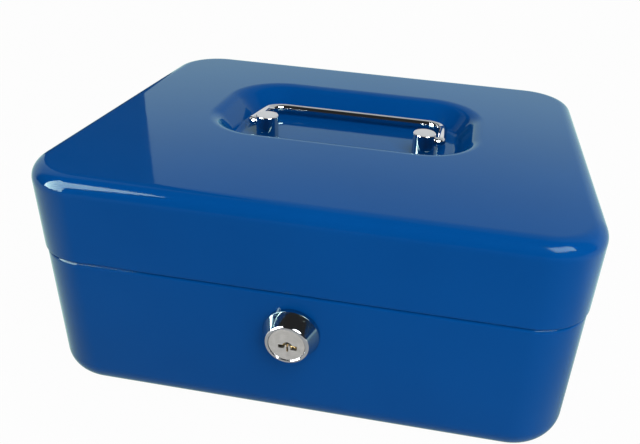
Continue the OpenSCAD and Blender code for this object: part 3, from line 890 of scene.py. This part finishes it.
@dataclass
class Lock:
    """Cam lock: a coned bezel on a threaded barrel, and a plug with its keyway."""

    at: Point = (-1.0, -79.5, 41.5)
    foot: float = 10.1
    land: float = 1.5
    taper: float = 24.5
    face: float = 7.8
    height: float = 7.2
    lip: float = 0.9
    bore: float = 5.56
    well: float = 6.56
    well_z: float = 5.7
    barrel: float = 8.0
    barrel_flats: float = 14.0
    barrel_back: float = -4.1
    head: float = 6.5
    head_z: float = 5.8
    plug: float = 5.5
    plug_back: float = -4.5
    plug_face: float = 7.0
    keyway_back: float = -1.9
    tail: float = 5.6
    tail_back: float = -5.6
    screw: float = 2.05
    screw_end: float = -2.2

    def frame(self) -> Matrix:
        """Gives the lock's own frame: +Z out of the front, +Y up."""
        return shift(*self.at) @ Matrix.Rotation(QUARTER, 4, "X")

    def keyway(self) -> list[Piece]:
        """Makes the cutters for the keyway: two flags, their neck, an arch and a stem."""
        low, high = self.keyway_back, self.plug_face + 1
        blocks = (
            ((-2.9, -1.45), (-0.9, -0.05)),
            ((1.3, -1.75), (3.7, 0.1)),
            ((-1.2, -0.9), (-0.6, -0.2)),
            ((-0.05, -2.65), (0.65, 0.55)),
        )
        tools = [block((*near, low), (*far, high)) for near, far in blocks]
        outline = arc((0.3, -0.35), 1.7, 0, 180, 20) + arc((0.3, -0.35), 0.75, 180, 0, 12)
        return [*tools, extrude("arch", outline, low, high)]

    def build_bezel(self) -> Piece:
        """Turns the bezel and its barrel."""
        lip, taper, back, top, break_edge = self.lip, self.taper, self.barrel_back, self.height, 0.12
        rim = (self.face - lip * math.cos(math.radians(taper)), top - lip)
        shoulder = (self.foot - self.land / 3, self.land)
        profile = [(self.bore, back), (self.barrel, back), (self.barrel, 0), (self.foot, 0)]
        profile += arc(shoulder, self.land / 3, 0, taper, 4) + arc(rim, lip, taper, 90, 8)
        profile += [(self.well + break_edge, top), (self.well, top - break_edge)]
        profile += [(self.well, self.well_z), (self.bore, self.well_z)]
        made = lathe("lock_bezel", [*profile, profile[0]], 96)
        weld(made)
        flatten(made, self.barrel_flats / 2, 12, back - 1, -0.02)
        return place(soften(made, 0.1, 2), self.frame())

    def build_plug(self) -> Piece:
        """Turns the plug, squares its tail and cuts the keyway."""
        r, back, top = self.head, self.plug_back, self.plug_face
        profile = [(0, back), (self.plug, back), (self.plug, self.head_z), (r, self.head_z)]
        profile += [(r, top - 0.25), (r - 0.1, top - 0.06), (r - 0.3, top), (0, top)]
        made = lathe("plug_turned", profile, 96)
        half = self.tail / 2
        join(made, block((-half, -half, self.tail_back), (half, half, back + 0.5)))
        cut(made, rod("screw_hole", self.screw, self.tail_back - 1, self.screw_end, 40), *self.keyway())
        return place(soften(made, 0.06, 2, hard=True), self.frame())

    def build(self) -> list[Piece]:
        """Builds the bezel and the plug."""
        return [self.build_bezel(), self.build_plug()]

    def dress(self, made: list[Piece], chrome: Material, nickel: Material) -> None:
        """Plates the lock and puts its pieces in place of their solids."""
        bezel, plug = made
        seat(bezel, Body.CASE, Slot.CHROME, chrome, "lock_barrel")
        seat(plug, Body.PLUG, Slot.NICKEL, nickel, "lock_plug")


# ---------------------------------------------------------------- coin tray


@dataclass(frozen=True)
class Cup:
    """Cup of the tray, open at its top and rounded along its lower edges."""

    middle: float
    front: float
    width: float
    length: float
    rounding: float

    def solid(self, wall: float, top: float, floor: float) -> Piece:
        """Makes the cup as a solid, grown by its wall.

        Args:
            wall: how much it is grown.
            top: height of its open side.
            floor: height of its bottom inside.

        Returns:
            The solid.
        """
        half, r, low = self.width / 2 + wall, self.rounding + wall, floor - wall
        section = [(half, top), (-half, top)]
        section += arc((r - half, low + r), r, 180, 270, 14) + arc((half - r, low + r), r, 270, 360, 14)
        made = extrude("cup", section, -self.front - self.length - wall, -self.front + wall)
        return place(made, shift(self.middle) @ Matrix.Rotation(QUARTER, 4, "X"))


@dataclass
class CoinTray:
    """Lift-out moulding: a deck with a skirt, four coin cups, two note trays and four feet."""

    node: str = "coin_tray"
    deck: float = 2.0
    skirt: float = 8.0
    wall: float = 1.6
    corner: float = 17.5
    notch_half: float = 22.0
    notch_mid: float = -1.0
    notch_depth: float = 9.0
    cups_x: float = 87.0
    cup_depth: float = 26.0
    web: float = 3.0
    coin_front: float = -61.0
    coin_length: float = 48.0
    coin_round: float = 14.0
    note_length: float = 76.0
    note_round: float = 6.0
    leg_length: float = 18.0
    leg_depth: float = 9.0
    leg_y: float = 42.0
    grip_off: float = 8.0
    grip: float = 14.0
    steps: int = 12

    def outline(self, inset: float) -> list[Pair]:
        """Gives the moulding's outline, with its notch for the lock.

        Args:
            inset: how far it is drawn in from the edge.

        Returns:
            Its corners, counted round.
        """
        high = corners(self.node)[1]
        ring = Ring(high.x - inset, high.y - inset, self.corner - inset, 0).points(self.steps)
        points = [(p.x / MM, p.y / MM) for p in ring]
        left, right = (self.notch_mid + half for half in (-self.notch_half - inset, self.notch_half + inset))
        front = inset - high.y
        back = front + self.notch_depth
        third = 3 * (self.steps + 1)
        notch = [(left, front), (left, back), (right, back), (right, front)]
        return points[:third] + notch + points[third:]

    def cups(self) -> list[Cup]:
        """Gives the four coin cups and the two note trays."""
        wide, web, front = self.cups_x, self.web, self.coin_front
        coin, note = (2 * wide - 3 * web) / 4, (2 * wide - web) / 2
        size = (coin, self.coin_length, self.coin_round)
        found = [Cup(coin / 2 - wide + i * (coin + web), front, *size) for i in range(4)]
        front += self.coin_length + web
        size = (note, self.note_length, self.note_round)
        return found + [Cup(side * (note + web) / 2, front, *size) for side in (-1, 1)]

    def leg(self, side_x: int, side_y: int) -> Piece:
        """Makes one hollow foot, on the side of X and of Y that the signs say."""
        low, high = corners(self.node)
        floor, mid = high.z - self.cup_depth, side_y * self.leg_y
        half, wall = self.leg_length / 2, self.wall
        outer = self.cups_x + wall
        left, right = sorted((side_x * (outer - self.leg_depth), side_x * outer))
        made = block((left, mid - half, low.z), (right, mid + half, floor))
        left, right = sorted((side_x * (self.cups_x - self.leg_depth - 1), side_x * self.cups_x))
        half -= wall
        return cut(made, block((left, mid - half, low.z - 1), (right, mid + half, floor - wall)))

    def build(self) -> Piece:
        """Moulds the tray."""
        high = corners(self.node)[1]
        top, under = high.z, high.z - self.skirt
        floor = top - self.cup_depth
        made = extrude("tray_moulding", self.outline(0), under, top)
        cut(made, extrude("hollow", self.outline(self.wall), under - 1, top - self.deck))
        cups = self.cups()
        join(made, *[cup.solid(self.wall, top, floor) for cup in cups])
        join(made, *[self.leg(side_x, side_y) for side_x in (-1, 1) for side_y in (-1, 1)])
        cut(made, *[cup.solid(0, top + 1, floor) for cup in cups])
        for side in (-1, 1):
            grip = rod("grip", self.grip, 0, self.skirt + 2, 64)
            cut(made, place(grip, shift(side * (high.x + self.grip_off), 0, under - 1)))
        return soften(made, 0.35, 3)

    def dress(self, made: Piece, plastic: Material) -> None:
        """Gives the tray its plastic and puts it in place of its solid."""
        seat(made, Body.TRAY, Slot.PLASTIC, plastic, self.node)


# ---------------------------------------------------------------- hardware


@dataclass
class Hardware:
    """Small steel and brass parts, which keep their solids and get their finishes."""

    zinc: tuple[str, ...] = (
        *("hinge_base_leaf_left", "hinge_base_leaf_right", "hinge_lid_leaf_left", "hinge_lid_leaf_right"),
        *("hinge_pin_left", "hinge_pin_right", "lock_washer", "lock_nut", "lock_cam", "cam_washer"),
        *("cam_screw", "lid_catch", "handle_washers", "handle_screws"),
    )
    brass: tuple[str, ...] = ("lock_wafers",)

    def dress(self, zinc: Material, brass: Material) -> None:
        """Gives every solid that shows its finish."""
        for names, finish, slot in ((self.zinc, zinc, Slot.ZINC), (self.brass, brass, Slot.BRASS)):
            for name in names:
                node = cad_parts[name]
                coat(node, finish)
                log.info("%s dressed as %s", name, slot.value)


# ---------------------------------------------------------------- studio


@dataclass
class Card:
    """Flat board in the studio, seen only in reflections: dark, or glowing to give highlights."""

    name: str
    middle: Point
    target: Point
    width: float
    height: float
    shade: float
    glow: float = 0.0
    snipped: Pair = (0.0, 0.0)


@dataclass
class Lamp:
    """Soft lamp, which mirrors don't show; its power is in watts."""

    name: str
    middle: Point
    target: Point
    width: float
    height: float
    power: float


def facing(middle: Point, target: Point, axis: str) -> Matrix:
    """Gives the placing at one point with an axis of its own turned to another."""
    way = (Vector(target) - Vector(middle)).normalized()
    return shift(*middle) @ way.to_track_quat(axis, "Y").to_matrix().to_4x4()


@dataclass
class Studio:
    """White sweep, soft lamps, and dark or glowing boards seen only in reflections."""

    size: float = 6000.0
    floor_z: float = -0.05
    floor_shade: float = 0.50
    floor_share: float = 0.97
    fill: float = 0.36
    front: float = 0.04
    turn: Pair = (0.10, 0.28)
    zenith: float = 0.72
    climb: Pair = (0.48, 0.30)
    reflection_dim: float = 0.55
    reflection_dim_at: Point = (60, -270, 0)
    reflection_dim_reach: Pair = (220, 300)
    cards: list[Card] = field(default_factory=list)
    lamps: list[Lamp] = field(default_factory=list)

    def rays(self, shader: Shader, *kinds: str) -> Socket:
        """Tells whether a ray is one of the kinds given.

        Args:
            shader: the tree that asks.
            *kinds: outputs of Light Path.

        Returns:
            1 on such a ray, otherwise 0.
        """
        path = shader.add("ShaderNodeLightPath")
        found = path.outputs[kinds[0]]
        for kind in kinds[1:]:
            found = shader.math("MAXIMUM", found, path.outputs[kind])
        return found

    def fade(self, shader: Shader, value: Socket, reach: Pair, dark: float) -> Socket:
        """Gives a brightness that falls off softly.

        Args:
            shader: the tree that asks.
            value: the measure along which it falls off.
            reach: the values where it is darkest and where it is white.
            dark: the brightness where it is darkest.

        Returns:
            The brightness, from dark to 1.
        """
        near, far = sorted(reach)
        ends = (dark, 1.0) if reach[0] < reach[1] else (1.0, dark)
        return shader.mapped(value, (near, far), ends, interpolation_type="SMOOTHSTEP")

    def shown(self, shader: Shader, bright: Socket) -> Socket:
        """Keeps the studio white to the camera and through glass, whatever the reflections show.

        Args:
            shader: the tree that asks.
            bright: the brightness in reflections.

        Returns:
            The brightness to use.
        """
        return shader.math("MAXIMUM", self.rays(shader, "Is Camera Ray", "Is Transmission Ray"), bright)

    def white_rays(self, shader: Shader) -> Socket:
        """Tells the rays that see the backdrop itself: from the camera, in mirrors and through glass."""
        return self.rays(shader, "Is Camera Ray", "Is Glossy Ray", "Is Transmission Ray")

    def floor(self) -> None:
        """Lays the pale floor, which stays white to the camera and keeps the shadow."""
        sketch = Sketch("floor")
        half = self.size / 2
        spots = [(-half, -half), (half, -half), (half, half), (-half, half)]
        sketch.cap(sketch.loop([Vector((x, y, self.floor_z)) * MM for x, y in spots]))
        shader = Shader("pale_floor")
        matt = shader.add("ShaderNodeBsdfDiffuse")
        shade = self.floor_shade
        shader.tint(shader.noise(3.0), (shade,) * 3, (shade + 0.02,) * 3, matt.inputs["Color"])
        # Near the front of the box the floor is dimmer in reflections only; the camera still sees it white.
        away = shader.add("ShaderNodeVectorMath", operation="DISTANCE")
        shader.join(shader.place(), away.inputs[0])
        away.inputs[1].default_value = Vector(self.reflection_dim_at) * MM
        near, far = (reach * MM for reach in self.reflection_dim_reach)
        bright = self.fade(shader, away.outputs["Value"], (near, far), self.reflection_dim)
        glow = shader.add("ShaderNodeEmission")
        shader.join(self.shown(shader, bright), glow.inputs["Strength"])
        share = shader.math("MULTIPLY", self.white_rays(shader), self.floor_share)
        shader.mix(share, matt, glow)
        sketch.finish(shader.made)

    def world(self) -> None:
        """Lights the studio from all round and keeps the backdrop white."""
        shader = Shader("studio", world=True)
        bpy.context.scene.world = shader.made
        split = shader.add("ShaderNodeSeparateXYZ")
        shader.join(shader.add("ShaderNodeTexCoord").outputs["Generated"], split.inputs[0])
        backdrop = shader.add("ShaderNodeBackground", Color=WHITE)
        ahead = self.fade(shader, split.outputs["Y"], self.turn, self.front)
        above = self.fade(shader, split.outputs["Z"], self.climb, self.zenith)
        bright = shader.math("MULTIPLY", ahead, above)
        shader.join(self.shown(shader, bright), backdrop.inputs["Strength"])
        fill = shader.add("ShaderNodeBackground", Color=WHITE, Strength=self.fill)
        shader.mix(self.white_rays(shader), fill, backdrop)

    def card(self, card: Card) -> None:
        """Stands a board that faces its target."""
        sketch = Sketch(card.name)
        w, h = card.width / 2, card.height / 2
        across, down = card.snipped
        snip = [(w, h - down), (w - across, h)] if across else [(w, h)]
        spots = [(-w, -h), (w, -h), *snip, (-w, h)]
        sketch.cap(sketch.loop([Vector((x, y, 0)) * MM for x, y in spots]))
        shader = Shader(card.name)
        # A glowing board only gives highlights in reflections: its glow stops after a diffuse bounce, so it
        # lights nothing.
        if card.glow > 0:
            light = shader.add("ShaderNodeEmission")
            depth = shader.add("ShaderNodeLightPath").outputs["Diffuse Depth"]
            shader.join(shader.mapped(depth, (0.0, 1.0), (card.glow, 0.0)), light.inputs["Strength"])
            shader.end(light)
        else:
            shader.surface(Base_Color=(card.shade,) * 3 + (1,), Roughness=0.9)
        made = sketch.finish(shader.made)
        made.matrix_world = facing(card.middle, card.target, "Z")
        # The board shows only in reflections: the camera doesn't see it, and it neither lights nor shades
        # anything.
        made.visible_camera = False
        made.visible_diffuse = False
        made.visible_shadow = False

    def lamp(self, lamp: Lamp) -> None:
        """Hangs a lamp."""
        data = bpy.data.lights.new(lamp.name, "AREA")
        data.shape = "RECTANGLE"
        data.size, data.size_y = lamp.width * MM, lamp.height * MM
        data.energy = lamp.power
        made = bpy.data.objects.new(lamp.name, data)
        bpy.context.scene.collection.objects.link(made)
        made.visible_glossy = False
        made.matrix_world = facing(lamp.middle, lamp.target, "-Z")

    def build(self) -> None:
        """Sets up the floor, the world, the cards and the lamps."""
        self.floor()
        self.world()
        for card in self.cards:
            self.card(card)
        for lamp in self.lamps:
            self.lamp(lamp)


@dataclass
class ViewPoint:
    """Camera at the view that the model was measured from."""

    target: Point = (13.59, 5.03, 45.0)
    azimuth: float = 7.294
    elevation: float = 28.788
    roll: float = 3.926
    distance: float = 294.03
    focal: float = 641.46
    centre: Pair = (372.27, 215.75)
    image: tuple[int, int] = (640, 444)

    def build(self) -> None:
        """Makes the scene's camera."""
        az, el, roll = (math.radians(a) for a in (self.azimuth, self.elevation, self.roll))
        back = Vector((math.sin(az) * math.cos(el), -math.cos(az) * math.cos(el), math.sin(el)))
        right = (-back).cross(Vector((0, 0, 1))).normalized()
        up = right.cross(-back)
        across = right * math.cos(roll) + up * math.sin(roll)
        upward = up * math.cos(roll) - right * math.sin(roll)
        place_at = (Vector(self.target) + back * self.distance) * MM
        data = bpy.data.cameras.new("camera")
        data.sensor_width = 36
        data.sensor_fit = "HORIZONTAL"
        data.lens = self.focal * 36 / self.image[0]
        data.shift_x = (self.image[0] / 2 - self.centre[0]) / self.image[0]
        data.shift_y = (self.centre[1] - self.image[1] / 2) / self.image[0]
        data.clip_start = 0.01
        made = bpy.data.objects.new("camera", data)
        bpy.context.scene.collection.objects.link(made)
        rotation = Matrix((across, upward, back)).transposed().to_4x4()
        made.matrix_world = Matrix.Translation(place_at) @ rotation
        bpy.context.scene.camera = made


# ---------------------------------------------------------------- build


def main() -> None:
    """Builds, dresses and lights the cash box."""
    logging.basicConfig(level=logging.INFO, format="%(name)s: %(message)s")
    scene = bpy.context.scene
    scene.view_settings.view_transform = "Standard"

    paint = Enamel().make()
    chrome = Plate("bright_chrome", (0.52, 0.54, 0.56), (0.56, 0.58, 0.60), (0.03, 0.06)).make()
    nickel = TurnedFace("satin_nickel", Lock().at, "Y", (0.66, 0.65, 0.62), (0.76, 0.75, 0.72)).make()
    zinc = Plate("zinc_plated_steel", (0.50, 0.51, 0.52), (0.66, 0.67, 0.69), (0.26, 0.40), 0.004).make()
    brass = Plate("brass", (0.62, 0.44, 0.18), (0.78, 0.58, 0.28), (0.18, 0.32)).make()
    plastic = Moulding().make()

    for shell in (LidShell(), BaseShell()):
        shell.dress(shell.build(), paint)
    handle = Handle()
    handle.dress(handle.build(), chrome)
    lock = Lock()
    lock.dress(lock.build(), chrome, nickel)
    tray = CoinTray()
    tray.dress(tray.build(), plastic)
    Hardware().dress(zinc, brass)

    studio = Studio(
        cards=[
            Card("flag_left", (-440, 410, 700), (-440, 0, 700), 260, 1400, 0.005),
            Card("window_left", (-780, -665, 760), (0, -665, 760), 750, 1320, 1.0, 40, (510, 540)),
            Card("window_right", (534, -528, 718), (84, -78, 88), 560, 400, 1.0, 32),
        ],
        lamps=[
            Lamp("key", (350, -600, 750), (0, 0, 60), 700, 700, 7.7),
            Lamp("back", (-300, 1400, 350), (0, 0, 45), 1200, 600, 8),
            Lamp("side", (330, -360, 120), (80, -80, 45), 200, 200, 0.2),
        ],
    )
    studio.build()
    ViewPoint().build()

    log.info("bounds written")


if __name__ == "__main__":
    main()
